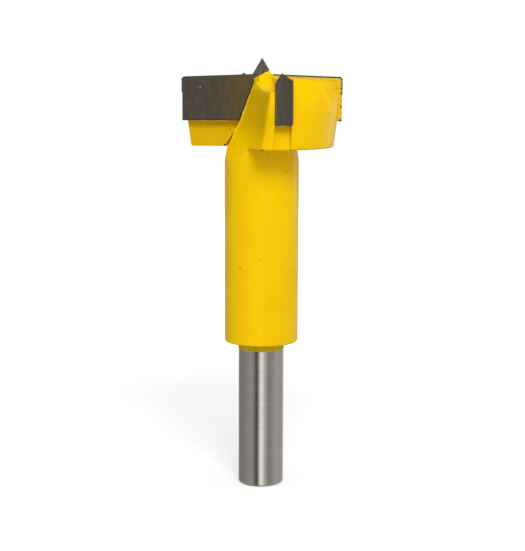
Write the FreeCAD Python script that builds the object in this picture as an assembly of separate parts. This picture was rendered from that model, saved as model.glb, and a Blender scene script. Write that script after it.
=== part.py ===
# A carbide-tipped hinge-boring bit of the forstner kind, shank end down and centre point up.
# Millimetres. The origin is the middle of the shank's flat end and +Z runs up the turning axis.
# The head is the same after half a turn about +Z. Seen from the point it cuts anticlockwise.
import FreeCAD, Part
import math
import os

# Turned body
shank_diameter = 10.0
shank_length = 32.5
shank_chamfer = 0.4
stem_diameter = 16.2
stem_length = 43.05
stem_round = 0.35           # rounded lower edge of the stem
neck_round = 0.5            # hollow corner between stem and head
rim_clearance = 0.9         # the head stands back this far inside the bore
head_height = 15.75         # underside of the head up to the cutting edges at the axis
head_taper = 1.0            # the skirt of the head draws in by this much at its foot
head_foot_round = 0.45
head_taper_height = 7.3

# Cutting edges
bore_diameter = 35.0        # the circle that both the edges and the spurs sweep
edge_fall = 2.1             # degrees that each edge drops from the axis to the rim
plate_thickness = 2.2
plate_depth = 10.1          # below the level of the cutting edges at the axis
plate_relief = 11.5         # degrees that the top of a plate drops behind its edge
plate_end_relief = 5.0      # degrees that the outer end draws in behind its edge
plate_land = 3.3            # ground height of the outer end
plate_land_step = 0.15
plate_corner = 0.45
plate_proud = 0.2           # a rake face stands this far in front of the gullet's flat wall
plate_ledge = 0.3           # the foot of a plate rests on a ledge of this depth

# Gullets
root_offset = 1.0           # distance of the root line from the axis, level with the edges
root_slope = 20.6           # degrees that the root line leans out beside the plate
root_foot_offset = 7.7      # distance of the root line from the axis under the head
root_round = 0.45
trail_offset = 1.6          # the rear wall meets the rim this far past the centre plane
trail_plate_offset = 0.9    # the same, level with the foot of the plate
trail_foot_offset = -0.05   # the same, level with the underside of the head
wall_bow_top = 0.25         # hollow of the rear wall across its width
wall_bow_plate = 0.6
wall_bow_foot = 0.95
runout_height = 3.6         # the gullet fades into the stem over this height
runout_bow = 0.01           # the wall is all but straight where it runs out
runout_trail = 0.5          # part of the stem's radius that the run-out reaches across
flat_depth = 0.55           # the cutter leaves a flat on the side of the stem under the head
flat_height = 3.0
flat_reach = 3.4            # the flat ends this far behind the centre plane
crack_top = 0.4             # a saw crack follows the foot of the root line from this part of its height
crack_width = 0.4           # at the underside of the head
crack_depth = 1.2

# Chip relief behind each gullet: a sloping facet that ends in a small flat floor
facet_depth = 1.0           # depth of the facet at the axis
facet_fall_along = 0.275    # drop for each millimetre towards the rim
facet_fall_across = 0.38    # drop for each millimetre towards the rear wall
facet_floor_depth = 3.75
facet_overlap = 0.4         # the side wall of the relief starts this far inside the spur slot
facet_wall_lean = 4.0

# Ground relief on the rim behind each plate
rim_relief_depth = 0.2
rim_relief_reach = 40.0     # degrees behind the cutting edge where it fades out

# Spurs
spur_angle = 74.3           # degrees from each cutting edge back to the spur of the same wing
spur_width = 3.55
spur_thickness = 2.3        # from the floor of its slot out to the bore
spur_top = 0.2              # above the level of the cutting edges at the axis
spur_height = 10.65
spur_peak_offset = 0.66     # the peak leans to the rear of the spur
spur_rear_bevel = 1.75      # height of each bevel below the peak
spur_front_bevel = 1.57
spur_inner_fall = 20.0      # degrees that the top drops towards the axis

# Centre point
point_side = 3.0
point_height = 3.47
point_root = 9.0
point_turn = 16.0           # degrees between a corner of the bar and the centre plane

braze_gap = 0.05            # filler between a carbide piece and the sides of its seat
spare = 2.0                 # how far the cutting tools reach past the metal

# Levels and radii that follow
stem_foot = shank_length
head_foot = stem_foot + stem_length
edge_level = head_foot + head_height
plate_foot = edge_level - plate_depth
shank_radius = shank_diameter / 2
stem_radius = stem_diameter / 2
bore_radius = bore_diameter / 2
head_radius = bore_radius - rim_clearance
head_foot_radius = head_radius - head_taper
spur_seat_radius = bore_radius - spur_thickness
fall_rate = math.tan(math.radians(edge_fall))
plate_drop = plate_thickness * math.tan(math.radians(plate_relief))
body_top = edge_level - plate_drop
outside = bore_radius + spare
half_turn = 180.0


def vec(x, y, z):
    return FreeCAD.Vector(x, y, z)


def turned(shape, degrees):
    """A copy turned about the axis of the bit."""
    copy = shape.copy()
    copy.rotate(vec(0, 0, 0), vec(0, 0, 1), degrees)
    return copy


def prism(points, along):
    """A straight solid on a closed outline of points."""
    outline = Part.makePolygon(points + [points[0]])
    return Part.Face(outline).extrude(along)


def rounded_outline(corners):
    """A closed outline in the XZ plane whose corners (x, z, radius) are rounded by arcs."""
    spots = [vec(x, 0, z) for x, z, radius in corners]
    edges = []
    starts = []
    ends = []
    for i, (x, z, radius) in enumerate(corners):
        here = spots[i]
        back = (spots[i - 1] - here).normalize()
        ahead = (spots[(i + 1) % len(spots)] - here).normalize()
        if radius == 0:
            starts.append(here)
            ends.append(here)
            continue
        half = back.getAngle(ahead) / 2
        reach = radius / math.tan(half)
        middle = here + (back + ahead).normalize() * (radius / math.sin(half) - radius)
        starts.append(here + back * reach)
        ends.append(here + ahead * reach)
        edges.append(Part.Arc(starts[i], middle, ends[i]).toShape())
    for i, end in enumerate(ends):
        edges.append(Part.makeLine(end, starts[(i + 1) % len(starts)]))
    return Part.Wire(Part.__sortEdges__(edges))


def turned_blank():
    """Shank, stem and head as one turned piece, before any milling."""
    rim_top = body_top - head_radius * fall_rate
    corners = [
        (0, 0, 0),
        (shank_radius - shank_chamfer, 0, 0),
        (shank_radius, shank_chamfer, 0),
        (shank_radius, stem_foot, 0),
        (stem_radius, stem_foot, stem_round),
        (stem_radius, head_foot, neck_round),
        (head_foot_radius, head_foot, head_foot_round),
        (head_radius, head_foot + head_taper_height, 0),
        (head_radius, rim_top, 0),
        (0, body_top, 0),
    ]
    half_section = Part.Face(rounded_outline(corners))
    return half_section.revolve(vec(0, 0, 0), vec(0, 0, 1), 360)


def root_at(level):
    """How far the root line stands from the axis beside the plate."""
    return root_offset + (edge_level - level) * math.tan(math.radians(root_slope))


def gullet_section(level, root, trail, bow):
    """Plan of the left gullet at one level: flat wall, root, hollow rear wall and open rim."""
    corner = vec(-root, plate_proud, level)
    rim = vec(trail, -head_radius, level)
    across = rim - corner
    middle = corner + across / 2 + vec(-across.y, across.x, 0).normalize() * bow
    wall = Part.Arc(corner, middle, rim).toShape()
    rest = Part.makePolygon([
        rim,
        vec(trail, -outside, level),
        vec(-outside, -outside, level),
        vec(-outside, plate_proud, level),
        corner,
    ])
    return Part.Wire([wall] + rest.Edges)


def gullet_tool():
    """Space milled in front of the left cutting edge, fading into the stem below the head."""
    plate_middle = (edge_level + plate_foot) / 2
    upright = [edge_level + spare, edge_level, plate_middle]
    sections = [gullet_section(level, root_at(level), trail_offset, wall_bow_top) for level in upright]
    sections.append(gullet_section(plate_foot, root_at(plate_foot), trail_plate_offset, wall_bow_plate))
    sections.append(gullet_section(head_foot, root_foot_offset, trail_foot_offset, wall_bow_foot))
    # The last section only just clears the stem, so that the cut runs out on its side
    sections.append(gullet_section(head_foot - runout_height, stem_radius + braze_gap,
                                   -stem_radius * runout_trail, runout_bow))
    tool = Part.makeLoft(sections, True, False)
    root = min(tool.Edges, key=root_distance)
    return tool.makeFillet(root_round, [root])


def lower_root_at(level):
    """How far the root line stands from the axis between the foot of the plate and the stem."""
    share = (plate_foot - level) / (plate_foot - head_foot)
    return root_at(plate_foot) + (root_foot_offset - root_at(plate_foot)) * share


def recess_tool():
    """Deeper part of the flat wall below the left plate, which leaves a ledge under its foot."""
    depth = plate_thickness - plate_ledge
    return prism([
        vec(-lower_root_at(plate_foot) - braze_gap, 0, plate_foot),
        vec(-outside, 0, plate_foot),
        vec(-outside, 0, head_foot - braze_gap),
        vec(-lower_root_at(head_foot) - braze_gap, 0, head_foot - braze_gap),
    ], vec(0, depth, 0))


def flat_tool():
    """Flat on the left side of the stem that fades out below the head."""
    return prism([
        vec(-stem_radius + flat_depth, -flat_reach, head_foot),
        vec(-stem_radius, -flat_reach, head_foot - flat_height),
        vec(-outside, -flat_reach, head_foot - flat_height),
        vec(-outside, -flat_reach, head_foot),
    ], vec(0, 2 * flat_reach, 0))


def crack_tool():
    """Narrow wedge between the recessed wall and the stem, open at the underside of the head."""
    top = plate_foot - (plate_foot - head_foot) * crack_top
    return prism([
        vec(-lower_root_at(top), 0, top),
        vec(-lower_root_at(head_foot) - crack_width / 2, 0, head_foot - braze_gap),
        vec(-lower_root_at(head_foot) + crack_width / 2, 0, head_foot - braze_gap),
    ], vec(0, plate_thickness - plate_ledge + crack_depth, 0))


def root_distance(edge):
    """How far the middle of an edge lies from the root line beside the plate."""
    middle = edge.valueAt((edge.FirstParameter + edge.LastParameter) / 2)
    return middle.distanceToPoint(vec(-root_at(plate_foot), plate_proud, plate_foot))


def plate_outline(level_drop, end_inset, y):
    """Outline of the left plate in one plane."""
    end = bore_radius - end_inset
    inner_top = edge_level - level_drop
    rim_level = inner_top - end * fall_rate
    land_foot = rim_level - plate_land
    inner = root_at(inner_top)
    inner_foot = vec(-root_at(plate_foot), y, plate_foot)
    return Part.makePolygon([
        inner_foot,
        vec(-end + plate_land_step, y, plate_foot),
        vec(-end + plate_land_step, y, land_foot),
        vec(-end, y, land_foot),
        vec(-end, y, rim_level - plate_corner),
        vec(-end + plate_corner, y, rim_level + plate_corner * fall_rate),
        vec(-inner, y, inner_top - inner * fall_rate),
        inner_foot,
    ])


def plate_seat():
    """Pocket for the left plate, open at the top, at the rim and towards the gullet."""
    above = edge_level + spare
    foot = plate_foot - braze_gap
    return prism([
        vec(-root_at(foot) + braze_gap, 0, foot),
        vec(-outside, 0, foot),
        vec(-outside, 0, above),
        vec(-root_at(above) + braze_gap, 0, above),
    ], vec(0, plate_thickness, 0))


def facet_tool():
    """Space of the chip relief on the right wing: a facet, a flat floor and a side wall."""
    lean = math.radians(facet_wall_lean)
    floor = edge_level - facet_floor_depth
    slot_edge = slot_edge_offset() + facet_overlap
    height = facet_floor_depth + spare + point_height
    inner_edge = slot_edge - (head_radius + plate_proud) * math.tan(lean)
    outer_edge = slot_edge + (outside - head_radius) * math.tan(lean)
    room = prism([
        vec(inner_edge, plate_proud, floor),
        vec(-outside, plate_proud, floor),
        vec(-outside, -outside, floor),
        vec(outer_edge, -outside, floor),
    ], vec(0, 0, height))
    wide = 2 * outside
    under = Part.makeBox(2 * wide, 2 * wide, wide, vec(-wide, -wide, -wide))
    normal = vec(-facet_fall_across, -facet_fall_along, 1)
    turn = FreeCAD.Rotation(vec(0, 0, 1), normal)
    under.Placement = FreeCAD.Placement(vec(0, 0, edge_level - facet_depth), turn)
    return room.cut(under)


def slot_edge_offset():
    """Where the rear side of the spur slot meets the rim, measured from the centre plane."""
    lead = math.radians(90 - spur_angle)
    half = spur_width / 2 + braze_gap
    return head_radius * math.sin(lead) - half * math.cos(lead)


def rim_relief_tool():
    """Thin ground band on the rim behind the right edge, fading out around the wing."""
    reach = math.cos(math.radians(rim_relief_reach))
    grown = head_radius + rim_relief_depth * reach / (1 - reach)
    shift = grown - head_radius + rim_relief_depth
    rim_top = edge_level - bore_radius * fall_rate
    foot = rim_top - plate_land
    band = Part.makeCylinder(outside, plate_land + spare, vec(0, 0, foot))
    kept = Part.makeCylinder(grown, plate_land + spare, vec(-shift, 0, foot))
    side = Part.makeBox(outside, outside, plate_land + spare, vec(0, -outside, foot))
    return band.cut(kept).common(side)


def spur_slot():
    """Flat-bottomed slot down the whole rim of the right wing."""
    half = spur_width / 2 + braze_gap
    box = Part.makeBox(outside - spur_seat_radius, 2 * half, head_height + 2 * spare,
                       vec(spur_seat_radius, -half, head_foot - spare))
    return turned(box, -spur_angle)


def point_bar(side, foot, top):
    """Square bar on the axis, turned as the centre point is."""
    bar = Part.makeBox(side, side, top - foot, vec(-side / 2, -side / 2, foot))
    return turned(bar, 45 - point_turn)


def point_socket():
    """Square hole in the middle of the head; its floor carries the centre point."""
    return point_bar(point_side + 2 * braze_gap, edge_level - point_root, edge_level + spare)


def body():
    """Turned and milled steel body with the seats of all the carbide pieces."""
    one_side = [gullet_tool(), plate_seat(), recess_tool(), crack_tool(), flat_tool(), facet_tool(),
                rim_relief_tool(), spur_slot()]
    shape = turned_blank().cut(point_socket())
    for tool in one_side:
        shape = shape.cut(tool).cut(turned(tool, half_turn))
    return shape.removeSplitter()


def cutter():
    """Left carbide plate: its rake face lies in the centre plane and faces -Y."""
    front = plate_outline(0, 0, 0)
    end_inset = plate_thickness * math.tan(math.radians(plate_end_relief))
    back = plate_outline(plate_drop, end_inset, plate_thickness)
    plate = Part.makeLoft([front, back], True, True)
    plate = plate.cut(turned(facet_tool(), half_turn))
    return plate.cut(point_socket())


def spur():
    """Carbide spur of the right wing with its scoring peak on the sweep circle."""
    half = spur_width / 2
    peak = edge_level + spur_top
    foot = peak - spur_height
    inner_drop = (outside - spur_seat_radius) * math.tan(math.radians(spur_inner_fall))
    outlines = []
    for radius, drop in ((spur_seat_radius, inner_drop), (outside, 0)):
        high = peak - drop + (outside - bore_radius) * math.tan(math.radians(spur_inner_fall))
        outlines.append(Part.makePolygon([
            vec(radius, -half, foot),
            vec(radius, half, foot),
            vec(radius, half, high - spur_front_bevel),
            vec(radius, -spur_peak_offset, high),
            vec(radius, -half, high - spur_rear_bevel),
            vec(radius, -half, foot),
        ]))
    bar = Part.makeLoft(outlines, True, True)
    sweep = Part.makeCylinder(bore_radius, spur_height + spare, vec(0, 0, foot))
    return turned(bar.common(sweep), -spur_angle)


def centre_point():
    """Square carbide bar ground to a four-sided point."""
    root = point_bar(point_side, edge_level - point_root, edge_level)
    base = root.Faces[0]
    for face in root.Faces:
        if face.CenterOfMass.z > base.CenterOfMass.z:
            base = face
    corners = [vertex.Point for vertex in base.OuterWire.OrderedVertexes]
    apex = vec(0, 0, edge_level + point_height)
    sides = [base]
    for i, corner in enumerate(corners):
        sides.append(Part.Face(Part.makePolygon([corners[i - 1], corner, apex, corners[i - 1]])))
    pyramid = Part.Solid(Part.Shell(sides))
    return root.fuse(pyramid).removeSplitter()


def main():
    os.makedirs("parts", exist_ok=True)
    left_cutter = cutter()
    front_spur = spur()
    pieces = {
        "body": body(),
        "cutter_left": left_cutter,
        "cutter_right": turned(left_cutter, half_turn),
        "spur_front": front_spur,
        "spur_back": turned(front_spur, half_turn),
        "centre_point": centre_point(),
    }
    for name, shape in pieces.items():
        shape.exportStep("parts/" + name + ".step")
        box = shape.BoundBox
        print(name, shape.isValid(), len(shape.Solids), round(shape.Volume, 1),
              round(box.ZMin, 2), round(box.ZMax, 2))


main()
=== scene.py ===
import bmesh
import bpy
import math
import numpy as np
from mathutils import Matrix, Vector


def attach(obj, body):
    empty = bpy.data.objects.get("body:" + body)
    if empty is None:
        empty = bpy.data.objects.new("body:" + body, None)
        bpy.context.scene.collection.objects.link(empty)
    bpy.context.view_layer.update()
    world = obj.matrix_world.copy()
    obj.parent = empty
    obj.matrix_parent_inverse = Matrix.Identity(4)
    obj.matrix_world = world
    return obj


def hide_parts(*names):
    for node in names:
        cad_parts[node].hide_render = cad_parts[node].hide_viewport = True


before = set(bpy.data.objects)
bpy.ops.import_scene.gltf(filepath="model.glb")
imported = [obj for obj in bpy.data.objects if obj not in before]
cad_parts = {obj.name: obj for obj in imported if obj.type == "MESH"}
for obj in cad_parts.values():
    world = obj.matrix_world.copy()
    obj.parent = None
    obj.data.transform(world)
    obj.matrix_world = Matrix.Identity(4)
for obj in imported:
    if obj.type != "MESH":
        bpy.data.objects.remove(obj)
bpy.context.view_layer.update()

mm = 0.001
print("frame loaded")


camera = {
    "place": (0.24, -299.98, 92.758),     # mm
    "tilt": 8.665,                        # degrees down
    "roll": 0.218,
    "lens": 89.44,
    "sensor": 36.0,
}


def setCamera():
    data = bpy.data.cameras.new("view")
    data.sensor_width = camera["sensor"]
    data.lens = camera["lens"]
    data.clip_start, data.clip_end = 0.01, 20
    eye = bpy.data.objects.new("view", data)
    turn = Matrix.Rotation(math.radians(90 - camera["tilt"]), 4, "X")
    roll = Matrix.Rotation(math.radians(camera["roll"]), 4, "Z")
    eye.matrix_world = Matrix.Translation(Vector(camera["place"]) * mm) @ turn @ roll
    bpy.context.scene.collection.objects.link(eye)
    bpy.context.scene.camera = eye
    bpy.context.scene.view_settings.view_transform = "Standard"


setCamera()
print("camera set")


# A node socket that takes part in sums, so that shader maths reads as it is written
class Wire:
    def __init__(self, tree, socket):
        self.tree = tree
        self.socket = socket

    def math(self, operation, *values):
        return self.tree.node("ShaderNodeMath", {"operation": operation},
                              dict(enumerate(values)))

    def __add__(self, other):
        return self.math("ADD", self, other)

    def __sub__(self, other):
        return self.math("SUBTRACT", self, other)

    def __rsub__(self, other):
        return self.math("SUBTRACT", other, self)

    def __mul__(self, other):
        return self.math("MULTIPLY", self, other)

    def __truediv__(self, other):
        return self.math("DIVIDE", self, other)

    def __abs__(self):
        return self.math("ABSOLUTE", self)

    def sign(self):
        return self.math("SIGN", self)

    def sqrt(self):
        return self.math("SQRT", self)

    def orMore(self, other):
        return self.math("MAXIMUM", self, other)

    __radd__ = __add__
    __rmul__ = __mul__


# A node tree that is filled through one method
class Tree:
    def __init__(self, owner):
        owner.use_nodes = True
        self.tree = owner.node_tree
        self.tree.nodes.clear()

    # type, settings such as a ramp's stops, then values or wires by socket name or number
    def node(self, kind, settings=None, inputs=None, output=0):
        made = self.tree.nodes.new(kind)
        for name, value in (settings or {}).items():
            if name == "stops":
                self.setStops(made.color_ramp, value)
            else:
                setattr(made, name, value)
        for name, value in (inputs or {}).items():
            if isinstance(value, Wire):
                self.tree.links.new(value.socket, made.inputs[name])
            else:
                made.inputs[name].default_value = value
        return Wire(self, made.outputs[output]) if len(made.outputs) else made

    def setStops(self, ramp, stops):
        while len(ramp.elements) < len(stops):
            ramp.elements.new(1.0)
        for element, (place, value) in zip(ramp.elements, stops):
            element.position = place
            element.color = (value, value, value, 1)

    # another output of the node that a wire comes from
    def pick(self, wire, output):
        return Wire(self, wire.socket.node.outputs[output])

    def place(self):
        return self.node("ShaderNodeTexCoord", output="Object")

    # x, y and z of a point in mm
    def axes(self, vector):
        apart = self.node("ShaderNodeSeparateXYZ", inputs={0: vector})
        return apart / mm, self.pick(apart, 1) / mm, self.pick(apart, 2) / mm

    def noise(self, vector, perMm, detail=2.0, rough=0.5, stretch=None):
        if stretch:
            vector = self.node("ShaderNodeMapping", inputs={"Vector": vector, "Scale": stretch})
        return self.node("ShaderNodeTexNoise", inputs={
            "Vector": vector, "Scale": perMm / mm, "Detail": detail, "Roughness": rough})

    # 0 below low, 1 above high, smooth between; falls instead where low is above high
    def step(self, value, low, high):
        return self.node("ShaderNodeMapRange", {"interpolation_type": "SMOOTHSTEP"},
                         {0: value, 1: low, 2: high})

    # 1 where every measure is past the value where it is full, 0 where one is short of its start
    def area(self, measures, edges):
        inside = 1.0
        for name, start, full in edges:
            inside = self.step(measures[name], start, full) * inside
        return inside

    # 1 at any of the places (x, y, z, radius) in mm, 0 away from them
    def spots(self, vector, places):
        total = None
        for x, y, z, radius in places:
            away = self.node("ShaderNodeVectorMath", {"operation": "DISTANCE"},
                             {0: vector, 1: (x * mm, y * mm, z * mm)}, output=1)
            spot = self.step(away, radius * mm, radius * 0.55 * mm)
            total = spot if total is None else total.orMore(spot)
        return total

    def blend(self, share, first, second):
        mixed = self.node("ShaderNodeMix", {"data_type": "RGBA"},
                          {0: share, 6: first, 7: second})
        return self.pick(mixed, 2)

    def bump(self, height, depthMm, under=None):
        inputs = {"Height": height, "Distance": depthMm * mm}
        if under is not None:
            inputs["Normal"] = under
        return self.node("ShaderNodeBump", inputs=inputs)

    # the first shader where the share is 0, the second where it is 1
    def cover(self, share, first, second):
        return self.node("ShaderNodeMixShader", inputs={0: share, 1: first, 2: second})

    def finish(self, shader):
        self.node("ShaderNodeOutputMaterial", inputs={0: shader})


def rgb(red, green, blue):
    return (red, green, blue, 1.0)


def newMaterial(name):
    material = bpy.data.materials.new(name)
    return material, Tree(material)


# Forms that the finishes and the added pieces share, in mm

# the line where the cutter's inner edge meets the gullet, outward from the axis
root = {
    "top": 91.3,
    "offset": 1.0,
    "lean": math.tan(math.radians(20.6)),
    "plateFoot": 81.2,
    "headFoot": 75.55,
    "footOffset": 7.7,
}

# the spur of the front wing lies in this direction from the axis
spurSeat = {
    "angle": math.radians(-74.3),
    "half": 1.775,      # half of the spur's width
    "slot": 1.825,      # half of its slot's width
}


# Offset at the top plus the tangent of the lean times the way down
def rootAt(level):
    return root["offset"] + (root["top"] - level) * root["lean"]


# Under the cutter a straight line takes over and ends at the underside of the head
def lowerRootAt(level):
    start = rootAt(root["plateFoot"])
    slope = (root["footOffset"] - start) / (root["plateFoot"] - root["headFoot"])
    return (root["plateFoot"] - level) * slope + start


# How far a point lies outward along the spur and across it; the back spur folds onto the front one
def spurAxes(x, y):
    cos, sin = math.cos(spurSeat["angle"]), math.sin(spurSeat["angle"])
    out = x * cos + y * sin
    across = (y * cos - x * sin) * out.sign()
    return abs(out), across


# Edges of a mark that lies between two values of a measure and fades out beyond them
def between(measure, low, high, soft):
    return [(measure, low - soft, low), (measure, high + soft, high)]


paint = {
    "color": rgb(0.925, 0.575, 0.0),
    "fresh": rgb(0.98, 0.66, 0.0),        # the thick blob round the foot of the point
    "deep": rgb(0.85, 0.49, 0.0),         # thicker film, in hollows and runs
    "thin": rgb(0.77, 0.47, 0.0),         # painted shade on the recesses under the cutters and on the gullets' rear walls, and the colour of stains on the rim
    "neck": rgb(0.66, 0.47, 0.012),       # painted shade over the top of the shank, under the stem
    "low": rgb(0.55, 0.30, 0.0),          # dust in pits and nicks; painted shade in creases, along the rim's lower edge and towards the foot of each recess
    "grime": rgb(0.56, 0.43, 0.03),       # olive dirt on the backs of the cutters
    "bare": rgb(0.075, 0.045, 0.018),     # dark metal in chips, and painted shade in the crack and in the notch at its foot
    "clouds": 0.3,                        # how much of the deep colour clouds, mottle
    "mottle": 0.25,                       # and specks bring in
    "specks": 0.12,
    "roughness": 0.3,
    "gloss": 0.065,
    "peel": 0.018,                        # mm, depth of the orange peel
    "speckHeight": 0.008,
    "chipDepth": 0.05,
}


# Broad clouds, fine mottle and small specks add up to the share of the deep colour
def enamel(t, place):
    clouds = t.step(t.noise(place, 0.12, 3), 0.4, 0.7)
    mottle = t.step(t.noise(place, 0.6, 3, 0.6), 0.45, 0.75)
    specks = t.step(t.noise(place, 3.2, 1), 0.66, 0.74)
    share = clouds * paint["clouds"] + mottle * paint["mottle"] + specks * paint["specks"]
    color = t.blend(share, paint["color"], paint["deep"])
    peel = t.bump(t.noise(place, 1.3, 2), paint["peel"])
    return color, t.bump(specks, paint["speckHeight"], peel)


def enamelShader(t, place, color, normal):
    return t.node("ShaderNodeBsdfPrincipled", inputs={
        "Base Color": color,
        "Roughness": t.noise(place, 0.5, 2) * 0.12 + paint["roughness"] - 0.06,
        "Specular IOR Level": paint["gloss"],
        "Normal": normal,
    })


# chips and small pits (x, y, z, radius); the last two chips are painted shade in the notch at the foot
# of each crack
chips = [(0.12, -15.55, 75.62, 0.32), (-0.3, -15.5, 75.55, 0.24),
         (-8.1, 1.9, 75.75, 0.36), (8.1, -1.9, 75.75, 0.3)]
pits = [(1.26, -8.0, 73.9, 0.3), (5.25, -6.17, 70.47, 0.3), (6.37, -5.01, 67.37, 0.3),
        (-0.29, -8.09, 58.91, 0.24), (-0.97, -8.04, 51.92, 0.22), (2.6, -7.67, 49.2, 0.16),
        (-4.6, -6.67, 49.5, 0.45), (-0.29, -8.09, 51.6, 0.3), (-6.95, 1.9, 79.2, 0.3),
        (-6.6, 1.9, 78.4, 0.22), (-7.4, 1.9, 79.9, 0.16), (-6.7, -4.55, 38.95, 0.16)]

# saw crack below the inner end of each cutter, in mm, darkened with painted shade
crack = {
    "halfWidth": 0.08,  # at the top
    "widening": 0.09,   # for each mm further down
    "soft": 0.1,
    "top": 77.9,
    "foot": 75.3,
    "near": 1.7,        # its depth in the wing
    "far": 2.9,
}

# areas of the marks below, each a list of measures with the values where the mark starts and is full
recess = between("depth", 1.8, 2.0, 0.1) + [
    ("height", root["plateFoot"] + 0.1, root["plateFoot"] - 0.1),
    ("height", 75.4, 75.8), ("aside", 4.5, 6.5)]
gulletWall = [("outward", 2.2, 1.4), ("outward", -5.6, -4.8), ("alongSpur", 16.5, 16.2),
              ("height", 77.0, 81.0), ("height", 89.0, 88.0), ("depth", 0.5, 1.5)]
slotEdge = between("besideSpur", spurSeat["slot"] - 0.02, spurSeat["slot"] + 0.1, 0.06)
slotShade = between("acrossSpur", spurSeat["slot"], spurSeat["slot"] + 0.34, 0.08)
rimSkin = [("fromAxis", 14.5, 15.2)]
scuffed = rimSkin + [("scuffs", 0.4, 0.6), ("front", 0.0, 1.0)]

# Marks in the order in which they lie on the paint: colour, share, and one or more areas
paintMarks = [
    # painted shade on the recess under each cutter, darker towards its foot, on the top of the shank
    # under the stem, and on the gullet's rear wall
    ("thin", 1.0, recess),
    ("low", 0.3, recess + [("height", 79.8, 78.4)]),
    ("neck", 1.0, [("height", 32.75, 32.65)]),
    ("thin", 0.85, gulletWall),
    # painted shade along the lower edge of the rim
    ("low", 0.75, between("height", 75.5, 75.72, 0.08)
     + [("fromAxis", 8.6, 9.4), ("ragged", -0.08, 0.04)]),
    # blob round the foot of the point
    ("fresh", 0.85, [("fromAxis", 13.5, 12.0), ("outward", 4.4, 3.4), ("height", 87.6, 88.2)]),
    # stains on the rim, nicks below its upper edge and an angled scratch on the front wing
    ("thin", 0.35, rimSkin + [("aside", 8.0, 11.0), ("height", 80.0, 83.0), ("stains", 0.5, 0.62)]),
    ("low", 0.45, between("height", 89.75, 90.05, 0.12)
     + [("aside", 9.5, 11.0), ("nicks", 0.44, 0.54)]),
    ("low", 0.6, scuffed + between("height", 87.98, 88.08, 0.09) + between("outward", 14.8, 16.3, 0.2),
     scuffed + between("outward", 14.72, 14.82, 0.08) + between("height", 86.4, 88.0, 0.2)),
    # painted shade along the edges of the slots beside the spurs and under the spurs
    ("low", 0.5, slotEdge + [("alongSpur", 14.4, 14.8)],
     slotShade + [("alongSpur", 14.4, 14.8), ("height", 80.4, 80.8)]),
]


# What the marks are measured by, in mm. Both halves of the bit wear the same marks, half a turn apart,
# so "outward" runs from the axis towards the cutter of the half that a point belongs to
def paintMeasures(t, place):
    x, y, z = t.axes(place)
    along, across = spurAxes(x, y)
    return {
        "height": z,
        "aside": abs(x),            # from the middle, to either side
        "depth": abs(y),            # behind the rake faces
        "front": y * -1,
        "outward": x * y.sign() * -1,
        "fromAxis": (x * x + y * y).sqrt(),
        "alongSpur": along,         # out from the axis
        "acrossSpur": across,
        "besideSpur": abs(across),
        "ragged": t.noise(place, 2.2, 2) * 0.2 - 0.1,
        "stains": t.noise(place, 0.45, 4, 0.65),
        "nicks": t.noise(place, 2.2, 2),
        "scuffs": t.noise(place, 1.4, 2),
    }


def makePaint():
    material, t = newMaterial("yellow_enamel")
    place = t.place()
    color, normal = enamel(t, place)
    measures = paintMeasures(t, place)
    for name, share, first, *others in paintMarks:
        covered = t.area(measures, first)
        for other in others:
            covered = covered.orMore(t.area(measures, other))
        color = t.blend(covered * share, color, paint[name])
    shallow = t.spots(place, pits)
    color = t.blend(shallow * 0.6, color, paint["low"])

    # the crack below each cutter is darkened with painted shade; chips show the bare metal
    z, ragged = measures["height"], measures["ragged"]
    away = abs(measures["outward"] - lowerRootAt(z) + ragged)
    halfWidth = (crack["top"] - z) * crack["widening"] + crack["halfWidth"]
    reach = (between("depth", crack["near"], crack["far"], 0.1)
             + between("height", crack["foot"], crack["top"], 0.3))
    dark = t.step(away - halfWidth, crack["soft"], 0.0) * t.area(measures, reach)
    shaken = t.node("ShaderNodeVectorMath", inputs={0: place, 1: ragged * 0.5 * mm})
    gone = t.spots(shaken, chips)
    color = t.blend(dark.orMore(gone), color, paint["bare"])
    normal = t.bump(1 - gone - shallow * 0.4, paint["chipDepth"], normal)
    t.finish(enamelShader(t, place, color, normal))
    return material


steel = {
    "color": rgb(0.54, 0.512, 0.47),
    "dull": rgb(0.47, 0.443, 0.405),
    "roughness": 0.2,
    "groove": 0.012,        # mm
    "stretch": (0.06, 0.06, 1.0),
}


# Noise drawn out round the shank gives the turning grooves and broader dull bands
def makeSteel():
    material, t = newMaterial("turned_steel")
    place = t.place()
    grooves = t.noise(place, 6.0, 3, 0.7, stretch=steel["stretch"])
    bands = t.noise(place, 0.9, 2, stretch=steel["stretch"])
    color = t.blend(t.step(bands, 0.3, 0.75) * 0.5, steel["color"], steel["dull"])
    satin = t.node("ShaderNodeBsdfPrincipled", inputs={
        "Base Color": color,
        "Metallic": 1.0,
        "Roughness": grooves * 0.14 + steel["roughness"] - 0.07,
        "Normal": t.bump(grooves, steel["groove"]),
    })
    t.finish(satin)
    return material


carbide = {
    "color": rgb(0.070, 0.058, 0.041),
    "dark": rgb(0.044, 0.037, 0.026),
    "tint": rgb(0.105, 0.070, 0.014),     # brown left by the brazing heat
    "edge": rgb(0.022, 0.014, 0.006),     # flux and shadow along the brazed edges
    "bright": rgb(0.42, 0.38, 0.30),
    "metallic": 0.4,
    "specular": 0.3,
    "roughness": 0.46,
    "scratch": 0.01,                      # mm
}


# Ground surface of one kind of piece, with its colour and its grinding marks
def groundShader(t, place, color, marks):
    grain = t.noise(place, 5.0, 2)
    return t.node("ShaderNodeBsdfPrincipled", inputs={
        "Base Color": color,
        "Metallic": carbide["metallic"],
        "Specular IOR Level": carbide["specular"],
        "Roughness": grain * 0.15 + carbide["roughness"] - 0.07,
        "Normal": t.bump(marks, carbide["scratch"]),
    })


# Mottle and grinding marks together choose between the dark and the light grey
def groundColor(t, place, marks):
    mottle = t.noise(place, 1.3, 4, 0.65)
    share = t.step(mottle * 0.45 + marks * 0.55, 0.38, 0.62)
    return t.blend(share, carbide["dark"], carbide["color"])


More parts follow.
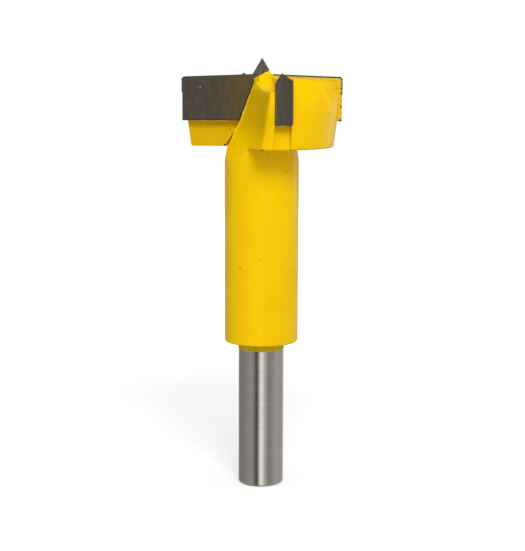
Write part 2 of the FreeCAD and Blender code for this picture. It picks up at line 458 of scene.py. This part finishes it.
spurLook = {
    "brightShare": 0.045,                # share of the bright colour
    "sideHighlight": 0.14,             # and the painted highlight that the side towards the chip relief has on top
    "side": (0.03, 0.01),           # mm from that side, where it starts and is full
    "darkStrip": (16.45, 16.7, 0.1),    # dark strip along the edge of the paint, out from the axis
    "paint": (16.45, 16.35),        # paint on that side inside this radius
    "ragged": 0.3,
}


def makeSpurCarbide():
    material, t = newMaterial("ground_carbide")
    place = t.place()
    marks = t.noise(place, 1.8, 3, 0.6, stretch=(1.0, 1.0, 0.15))
    x, y, _ = t.axes(place)
    out, across = spurAxes(x, y)
    # the side towards the chip relief gets a painted highlight
    side = t.step(across + spurSeat["half"], *spurLook["side"])
    brightShare = side * spurLook["sideHighlight"] + spurLook["brightShare"]
    color = t.blend(brightShare, groundColor(t, place, marks), carbide["bright"])
    darkStrip = t.area({"out": out}, between("out", *spurLook["darkStrip"]))
    color = t.blend(side * darkStrip, color, carbide["edge"])
    bare = groundShader(t, place, color, marks)
    yellow, normal = enamel(t, place)
    ragged = (t.noise(place, 1.6, 2) - 0.5) * spurLook["ragged"]
    painted = side * t.step(out + ragged, *spurLook["paint"])
    t.finish(t.cover(painted, bare, enamelShader(t, place, yellow, normal)))
    return material


# Where a pair is given, the first value is where the mark starts and the second where it is full, in mm
cutterLook = {
    "heat": (14.5, 6.5),            # brown tint, out from the axis
    "heatRagged": 6,
    "tintLeast": 0.4,               # its share between the grinding marks
    "tintMarks": 0.55,              # and what the marks add
    "edgeLine": (0.42, 0.24),       # dark line beside the brazed inner edge
    "footLine": (0.3, 0.12),        # and above the foot
    "footShare": 0.9,
    "speck": (-13.44, 0.0, 88.39, 0.16),
    "back": (1.44, 1.56),           # paint on the back, behind the rake face
    "backRagged": 0.5,
    "grimeLeast": 0.15,             # share of the dirt all over the back
    "grime": 0.75,                  # and what its spots add
    "rim": (16.75, 16.95),          # the paint of the back is chipped outside this radius
    "chipped": (0.54, 0.59),        # by this noise, with a little more near the top
    "topWear": 0.06,
    "top": (83.5, 85.5),
}

# paint over the upper inner corner of the right cutter
cutterCorner = [("x", 2.6, 2.3), ("x", 0.0, 0.1), ("z", 89.5, 90.0)]

# larger chips at the outer corner of each back (x, y, z, radius)
cutterChips = [(17.4, -2.2, 89.0, 0.5), (17.4, -2.2, 87.05, 0.42), (17.4, -2.2, 85.7, 0.35),
               (17.2, -2.2, 81.2, 0.6), (16.8, -2.2, 81.2, 0.5)]


def cutterColor(t, place, marks, outward, z):
    color = groundColor(t, place, marks)
    heat = t.step(outward + t.noise(place, 0.25, 2) * cutterLook["heatRagged"], *cutterLook["heat"])
    tint = t.step(marks, 0.35, 0.65) * cutterLook["tintMarks"] + cutterLook["tintLeast"]
    color = t.blend(heat * tint, color, carbide["tint"])
    beside = (outward - rootAt(z)) * math.cos(math.atan(root["lean"]))
    line = t.step(beside, *cutterLook["edgeLine"])
    foot = t.step(z - root["plateFoot"], *cutterLook["footLine"]) * cutterLook["footShare"]
    color = t.blend(line.orMore(foot), color, carbide["edge"])
    return t.blend(t.spots(place, [cutterLook["speck"]]), color, carbide["bright"])


# The back of a cutter was sprayed together with the body and has chipped at its outer corner
def makeCutterCarbide():
    material, t = newMaterial("brazed_carbide")
    place = t.place()
    x, y, z = t.axes(place)
    outward = abs(x)
    marks = t.noise(place, 2.2, 4, 0.65, stretch=(1.0, 1.0, 0.12))
    bare = groundShader(t, place, cutterColor(t, place, marks, outward, z), marks)
    yellow, normal = enamel(t, place)
    grime = t.step(t.noise(place, 2.2, 3, 0.7), 0.44, 0.58)
    yellow = t.blend(grime * cutterLook["grime"] + cutterLook["grimeLeast"], yellow, paint["grime"])
    ragged = (t.noise(place, 1.1, 3) - 0.5) * cutterLook["backRagged"]
    sprayed = t.step(abs(y) + ragged, *cutterLook["back"])
    sprayed = sprayed.orMore(t.area({"x": x, "z": z}, cutterCorner))
    worn = t.noise(place, 2.6, 3, 0.7) + t.step(z, *cutterLook["top"]) * cutterLook["topWear"]
    chip = t.step(worn, *cutterLook["chipped"]) * t.step(outward, *cutterLook["rim"])
    chip = chip.orMore(t.spots(place, cutterChips))
    t.finish(t.cover(sprayed * (1 - chip), bare, enamelShader(t, place, yellow, normal)))
    return material


braze = {
    "color": rgb(0.92, 0.64, 0.07),
    "tarnish": rgb(0.74, 0.46, 0.03),
    "metallic": 0.5,
    "roughness": 0.34,
    "ripple": 0.02,         # mm
}


def makeBraze():
    material, t = newMaterial("braze")
    cloud = t.noise(t.place(), 1.4, 3)
    filler = t.node("ShaderNodeBsdfPrincipled", inputs={
        "Base Color": t.blend(t.step(cloud, 0.4, 0.65), braze["color"], braze["tarnish"]),
        "Metallic": braze["metallic"],
        "Roughness": cloud * 0.2 + braze["roughness"] - 0.1,
        "Normal": t.bump(cloud, braze["ripple"]),
    })
    t.finish(filler)
    return material


pointLook = {
    "brightShare": 0.085,            # share of the bright colour
    "leftHighlight": 0.235,        # and the painted highlight that the left faces have on top
    "left": (0.3, -1.0),
    "level": 91.2,              # mm, the paint climbs the point to this height on the axis
    "slope": 0.536,             # and higher towards the right
    "soft": 0.05,
    "ragged": 0.5,
    "fresh": 0.7,               # share of the fresh paint
}


def makePointCarbide():
    material, t = newMaterial("point_carbide")
    place = t.place()
    x, _, z = t.axes(place)
    marks = t.noise(place, 2.0, 3, 0.6, stretch=(0.4, 0.4, 1.0))
    # the left faces get a painted highlight
    brightShare = t.step(x, *pointLook["left"]) * pointLook["leftHighlight"] + pointLook["brightShare"]
    color = t.blend(brightShare, groundColor(t, place, marks), carbide["bright"])
    bare = groundShader(t, place, color, marks)
    yellow, normal = enamel(t, place)
    yellow = t.blend(pointLook["fresh"], yellow, paint["fresh"])
    ragged = (t.noise(place, 1.2, 2) - 0.5) * pointLook["ragged"]
    edge = x * pointLook["slope"] + pointLook["level"] + ragged
    painted = t.step(edge - z, -pointLook["soft"], pointLook["soft"])
    t.finish(t.cover(painted, bare, enamelShader(t, place, yellow, normal)))
    return material


paintMaterial = makePaint()
steelMaterial = makeSteel()
spurMaterial = makeSpurCarbide()
cutterMaterial = makeCutterCarbide()
pointMaterial = makePointCarbide()
brazeMaterial = makeBraze()
print("finishes made")


def addMesh(name, points, faces, material, smooth=True):
    mesh = bpy.data.meshes.new(name)
    mesh.from_pydata(points, [], faces)
    mesh.update()
    if smooth:
        mesh.shade_smooth()
    mesh.materials.append(material)
    piece = bpy.data.objects.new(name, mesh)
    bpy.context.scene.collection.objects.link(piece)
    return piece


# Rings of points, rows x turns x 3 in mm, become a skin. Its rows end in a pole each,
# or the last row joins the first one
def skin(name, rings, material, loop=False):
    rows, turns = rings.shape[:2]
    here = np.arange(rows * turns).reshape(rows, turns)
    above = np.roll(here, -1, 0)
    if not loop:
        here, above = here[:-1], above[:-1]
    quads = np.stack([here, np.roll(here, -1, 1), np.roll(above, -1, 1), above], -1).reshape(-1, 4)
    faces = quads.tolist()
    points = rings.reshape(-1, 3)
    if not loop:
        poles = rings[[0, -1]].mean(1)
        points = np.concatenate([points, poles])
        first, last, pole = here[0], above[-1], rows * turns
        faces += np.stack([0 * first + pole, np.roll(first, -1), first], -1).tolist()
        faces += np.stack([0 * last + pole + 1, last, np.roll(last, -1)], -1).tolist()
    return addMesh(name, (points * mm).tolist(), faces, material)


# Each profile point (radius, height) is carried round the axis; height may vary with the angle
def turnedRings(profile, turns=144, wave=None):
    profile = np.array(profile, float)
    angle = np.linspace(0, 2 * np.pi, turns, endpoint=False)
    radius = profile[:, :1] * np.ones(turns)
    height = profile[:, 1:] * np.ones(turns)
    if wave is not None:
        height = height + wave(angle, profile)
    return np.stack([radius * np.cos(angle), radius * np.sin(angle), height], -1)


# A round bead along a path: each ring stands across the path, its radius swells by two sines
# and fades out at both ends with the square root of the distance
def beadRings(path, radius, seed=1.0, turns=10, rows=60):
    reach = np.concatenate([[0], np.cumsum(np.linalg.norm(np.diff(path, axis=0), axis=1))])
    run = np.linspace(0, reach[-1], rows)
    line = np.stack([np.interp(run, reach, path[:, k]) for k in range(3)], -1)
    ahead = np.gradient(line, axis=0)
    ahead /= np.linalg.norm(ahead, axis=1)[:, None]
    across = np.cross(ahead, [0.13, 0.91, 0.39])    # a direction that no bead runs in
    across /= np.linalg.norm(across, axis=1)[:, None]
    third = np.cross(ahead, across)
    swell = 1 + 0.14 * np.sin(2.1 * run + seed) + 0.1 * np.sin(4.7 * run + 2.3 * seed)
    ends = np.sqrt(np.clip(np.minimum(run, reach[-1] - run) / (2 * radius), 0.02, 1))
    angle = np.linspace(0, 2 * np.pi, turns, endpoint=False)
    ring = across[:, None] * np.cos(angle)[:, None] + third[:, None] * np.sin(angle)[:, None]
    return line[:, None] + ring * (radius * swell * ends)[:, None, None]


# The same points on the other half of the bit
def halfTurned(points):
    return points * [-1, -1, 1]


# Fixes a piece to the body; it may take the place of a node's mesh
def wear(piece, slot, *nodes):
    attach(piece, "root")
    if nodes:
        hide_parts(*nodes)
    return piece


bodyCut = {
    "above": 32.3,          # mm, the bare shank takes over below
    "join": 0.002,
    "flat": 0.6,            # degrees between triangles that become one face
    "edgeRadius": 0.16,
    "edgeAngle": 30,
}


# A copy of the body's mesh above a level, its loose triangles joined and the cut closed
def joinedCopy(node, name, keepAbove):
    mesh = bpy.data.meshes.new(name)
    work = bmesh.new()
    work.from_mesh(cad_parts[node].data)
    bmesh.ops.remove_doubles(work, verts=work.verts, dist=bodyCut["join"] * mm)
    everything = work.verts[:] + work.edges[:] + work.faces[:]
    cut = bmesh.ops.bisect_plane(work, geom=everything, plane_co=(0, 0, keepAbove * mm),
                                 plane_no=(0, 0, -1), clear_outer=True)
    rim = [part for part in cut["geom_cut"] if isinstance(part, bmesh.types.BMEdge)]
    bmesh.ops.edgenet_fill(work, edges=rim)
    bmesh.ops.dissolve_limit(work, angle_limit=math.radians(bodyCut["flat"]),
                             verts=work.verts, edges=work.edges)
    bmesh.ops.recalc_face_normals(work, faces=work.faces)
    work.to_mesh(mesh)
    work.free()
    mesh.materials.clear()
    piece = bpy.data.objects.new(name, mesh)
    bpy.context.scene.collection.objects.link(piece)
    return piece


def makePaintedBody():
    piece = joinedCopy("body", "painted_body", bodyCut["above"])
    piece.data.materials.append(paintMaterial)
    bevel = piece.modifiers.new("soft_edges", "BEVEL")
    bevel.width = bodyCut["edgeRadius"] * mm
    bevel.segments = 2
    bevel.limit_method = "ANGLE"
    bevel.angle_limit = math.radians(bodyCut["edgeAngle"])
    bevel.use_clamp_overlap = True
    bevel.harden_normals = True
    piece.data.shade_smooth()
    return wear(piece, "body", "body")


shank = {
    "radius": 5.0,          # mm
    "chamfer": 0.4,
    "soft": 0.05,           # rounding of the chamfer's edges
    "straight": 0.8,
    "top": 32.0,
}


# A straight side on top of a chamfer whose two edges are slightly rounded
def makeShank():
    r, c, soft = shank["radius"], shank["chamfer"], shank["soft"]
    profile = [(0.5 * r, 0), (r - c - soft, 0), (r - c, 0.2 * soft), (r - c + soft, soft),
               (r - soft, c - soft), (r - 0.2 * soft, c), (r, c + 1.2 * soft)]
    profile += [(r, z) for z in np.linspace(shank["straight"], shank["top"], 40)]
    return wear(skin("steel_shank", turnedRings(profile), steelMaterial), "body", "body")


# wavy end of the paint on the shank, in mm
collar = {
    "film": 0.07,
    "foot": 30.72,
    "top": 32.6,
    "inside": 4.9,
    "lip": 0.2,                                                   # height of the part that waves
    "waves": ((0.07, 3, 0.9), (0.05, 7, 2.0), (0.03, 16, 0.0)),   # height, number, shift
}


# The lower lip rises and sinks by the sum of a few waves round the shank
def collarWave(angle, profile):
    low = (profile[:, 1:] < collar["foot"] + collar["lip"]) * 1.0
    return low * sum(height * np.sin(number * angle + shift)
                     for height, number, shift in collar["waves"])


# A thin film with a round lip at its foot and a hollow rise to the stem at its top
def makeCollar():
    r, film, foot, top = shank["radius"], collar["film"], collar["foot"], collar["top"]
    profile = [(collar["inside"], foot + 0.06), (r + 0.4 * film, foot), (r + 0.85 * film, foot + 0.05),
               (r + film, foot + 0.14), (r + film, top - 0.55), (r + film + 0.05, top - 0.25),
               (r + film + 0.2, top - 0.08), (r + film + 0.3, top), (collar["inside"], top)]
    rings = turnedRings(profile, wave=collarWave)
    return wear(skin("paint_collar", rings, paintMaterial, loop=True), "body")


# beads of filler along the brazed seams and small runs of paint, in mm and degrees
beads = {
    "seam": {"radius": 0.2, "fromTop": 0.9, "pastFoot": 0.2, "inward": 0.14, "depth": 0.02},
    "foot": {"radius": 0.16, "from": 5.2, "to": 16.1, "depth": 1.86, "below": 0.13},
    "spur": {"radius": 0.17, "half": 1.85, "out": 15.22, "height": 80.66},
    "crack": {"radius": 0.17, "from": 78.2, "to": 76.2, "outward": 0.45, "depth": 1.82},
    "lip": {"radius": 0.1, "from": -88.4, "to": -82.5, "out": 15.5, "height": 75.66},
}


# Beside the inner edge of the left cutter, from its top to its foot
def seamPath():
    b = beads["seam"]
    levels = np.linspace(root["top"] - b["fromTop"], root["plateFoot"] - b["pastFoot"], 30)
    return np.stack([b["inward"] - rootAt(levels), 0 * levels + b["depth"], levels], -1)


# Level below the cutter's foot
def footPath():
    b = beads["foot"]
    out = np.linspace(b["from"], b["to"], 30)
    return np.stack([-out, 0 * out + b["depth"], 0 * out + root["plateFoot"] - b["below"]], -1)


# Level and square to the spur's direction
def spurPath():
    b = beads["spur"]
    across = np.linspace(-b["half"], b["half"], 12)
    cos, sin = math.cos(spurSeat["angle"]), math.sin(spurSeat["angle"])
    flat = b["out"] * np.array([cos, sin]) + across[:, None] * np.array([-sin, cos])
    return np.column_stack([flat, 0 * across + b["height"]])


# Just outside the line of the crack
def crackPath():
    b = beads["crack"]
    levels = np.linspace(b["from"], b["to"], 12)
    return np.stack([-lowerRootAt(levels) - b["outward"], 0 * levels + b["depth"], levels], -1)


# An arc round the axis
def lipPath():
    b = beads["lip"]
    angle = np.radians(np.linspace(b["from"], b["to"], 12))
    return np.stack([b["out"] * np.cos(angle), b["out"] * np.sin(angle), 0 * angle + b["height"]], -1)


def makeBeads():
    seams = (("braze_cutter_side", "seam", seamPath(), brazeMaterial),
             ("braze_cutter_foot", "foot", footPath(), brazeMaterial),
             ("braze_spur_foot", "spur", spurPath(), brazeMaterial),
             ("paint_crack_lip", "crack", crackPath(), paintMaterial))
    for name, kind, path, material in seams:
        for side, line in (("front", path), ("back", halfTurned(path))):
            rings = beadRings(line, beads[kind]["radius"], seed=len(name) + len(side))
            wear(skin(f"{name}_{side}", rings, material), "body")
    wear(skin("paint_lip", beadRings(lipPath(), beads["lip"]["radius"]), paintMaterial), "body")


makePaintedBody()
makeShank()
makeCollar()
makeBeads()
nodeMaterials = {
    "cutter_left": cutterMaterial,
    "cutter_right": cutterMaterial,
    "spur_front": spurMaterial,
    "spur_back": spurMaterial,
    "centre_point": pointMaterial,
}
for name, material in nodeMaterials.items():
    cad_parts[name].data.materials.clear()
    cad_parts[name].data.materials.append(material)
print("body and carbide made")


room = {
    "floor": 600.0,         # mm, radius
    "floorTurns": 96,
    "floorColor": 0.58,
    "liftNear": 0.41,       # seen by the camera alone, so that the floor turns white but for the shadow
    "liftFar": 0.67,        # and meets the white background without a line
    "nearEnd": 70.0,        # mm from the axis
    "farStart": 260.0,
    "ceiling": 0.85,
    "ceilingEdge": (0.35, 0.7),     # sine of the elevation where the walls give way to it
    "behind": 0.1,                  # what level tops mirror towards the camera
    "behindAway": (0.3, 0.6),       # how far a direction points away from the camera there
    "behindUp": (0.0, 0.05),        # and how far up
}

# brightness of the walls by azimuth in degrees, 0 behind the camera and 90 on its right
walls = [(-180, 0.45), (-130, 0.30), (-98, 0.36), (-60, 0.46), (-40, 0.44), (-33, 0.26), (-27, 0.08),
         (-15, 0.08), (-11, 0.45), (-6, 1.3), (5, 1.6), (14, 0.9), (24, 0.6), (38, 0.36), (55, 0.4),
         (73, 0.53), (95, 0.57), (125, 0.5), (150, 0.58), (180, 0.5)]


def grey(value):
    return rgb(value, value, value)


# A flat disc round the object, clear to reflections
def makeFloor():
    angle = np.linspace(0, 2 * np.pi, room["floorTurns"], endpoint=False)
    rim = np.stack([np.cos(angle), np.sin(angle), 0 * angle], -1) * room["floor"] * mm
    material, t = newMaterial("pale_floor")
    path = t.node("ShaderNodeLightPath")
    seen, glossy = t.pick(path, "Is Camera Ray"), t.pick(path, "Is Glossy Ray")
    x, y, _ = t.axes(t.place())
    far = t.step((x * x + y * y).sqrt(), room["nearEnd"], room["farStart"])
    glow = t.blend(far, grey(room["liftNear"]), grey(room["liftFar"]))
    matt = t.node("ShaderNodeBsdfDiffuse", inputs={"Color": grey(room["floorColor"])})
    lift = t.node("ShaderNodeEmission", inputs={"Color": glow, "Strength": seen})
    pale = t.node("ShaderNodeAddShader", inputs={0: matt, 1: lift})
    t.finish(t.cover(glossy, pale, t.node("ShaderNodeBsdfTransparent")))
    faces = [list(range(room["floorTurns"]))]
    addMesh("floor", rim.tolist(), faces, material, smooth=False)


# Walls by azimuth, a ceiling above them, a dim part behind the bit, and white for the camera
def makeWorld():
    world = bpy.data.worlds.new("studio")
    bpy.context.scene.world = world
    t = Tree(world)
    way = t.node("ShaderNodeTexCoord", output="Generated")
    x = t.node("ShaderNodeSeparateXYZ", inputs={0: way})
    y, z = t.pick(x, 1), t.pick(x, 2)
    azimuth = x.math("ARCTAN2", x, y * -1)
    stops = [(degrees / 360 + 0.5, glow) for degrees, glow in walls]
    side = t.node("ShaderNodeValToRGB", {"stops": stops}, {0: azimuth / (2 * math.pi) + 0.5})
    light = t.blend(t.step(z, *room["ceilingEdge"]), side, grey(room["ceiling"]))
    seen = t.node("ShaderNodeLightPath", output="Is Camera Ray")
    behind = t.step(y, *room["behindAway"]) * t.step(z, *room["behindUp"])
    light = t.blend(behind * t.pick(seen, "Is Glossy Ray"), light, grey(room["behind"]))
    glow = t.node("ShaderNodeBackground", inputs={"Color": t.blend(seen, light, grey(1.0))})
    t.node("ShaderNodeOutputWorld", inputs={0: glow})


# azimuth from the camera's side towards +X, elevation, distance and size in mm, power in W
lamps = {
    "key": {"azimuth": 9, "elevation": 40, "distance": 1200, "size": (480, 480), "power": 7.95},
    "rim": {"azimuth": 128, "elevation": 0, "distance": 300, "size": (160, 90), "power": 0.055},
}
lampAim = (0, 0, 60)        # mm


def makeLamps():
    aim = Vector(lampAim) * mm
    for name, lamp in lamps.items():
        a, e = math.radians(lamp["azimuth"]), math.radians(lamp["elevation"])
        out = Vector((math.sin(a) * math.cos(e), -math.cos(a) * math.cos(e), math.sin(e)))
        data = bpy.data.lights.new(name, "AREA")
        data.shape = "RECTANGLE"
        data.size, data.size_y = lamp["size"][0] * mm, lamp["size"][1] * mm
        data.energy = lamp["power"]
        light = bpy.data.objects.new(name, data)
        light.location = aim + out * lamp["distance"] * mm
        light.rotation_euler = out.to_track_quat("Z", "Y").to_euler()
        light.visible_camera = False
        bpy.context.scene.collection.objects.link(light)


makeFloor()
makeWorld()
makeLamps()
print("room lit")
